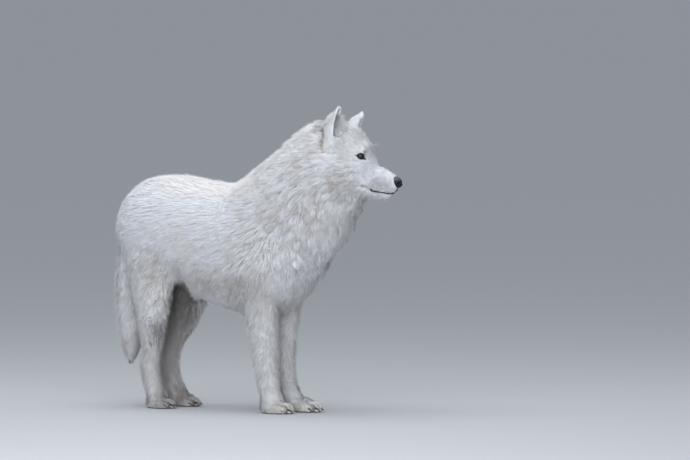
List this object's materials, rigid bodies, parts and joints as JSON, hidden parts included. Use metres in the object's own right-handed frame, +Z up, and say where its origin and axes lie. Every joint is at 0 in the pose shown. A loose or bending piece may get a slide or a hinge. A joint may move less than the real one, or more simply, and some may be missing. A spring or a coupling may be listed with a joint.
{
  "type": "arctic wolf model",
  "caption": "Life-size still model of an arctic wolf standing with its head raised, in pieces that a person would name, with flat soles.",
  "frame": {"origin": "on the floor, under the middle of the model's box", "axes": "+X towards the nose, +Y to the animal's left, +Z up"},
  "size_m": [1.0492, 0.3046, 0.9639],
  "materials": {
    "coat": "white winter fur, matt and soft",
    "eye": "dark amber, wet gloss",
    "nose_leather": "black, pebbled, slightly moist",
    "claw": "dark horn, smooth"
  },
  "bodies": {
    "root": {"head": "coat", "neck": "coat", "trunk": "coat", "tail": "coat", "ear_right": "coat", "ear_left": "coat", "eye_right": "eye", "eye_left": "eye", "nose": "nose_leather", "front_leg_right": "coat", "front_leg_left": "coat", "front_paw_right": "coat", "front_paw_left": "coat", "hind_thigh_right": "coat", "hind_thigh_left": "coat", "hind_leg_right": "coat", "hind_leg_left": "coat", "hind_paw_right": "coat", "hind_paw_left": "coat"}
  },
  "joints": []
}
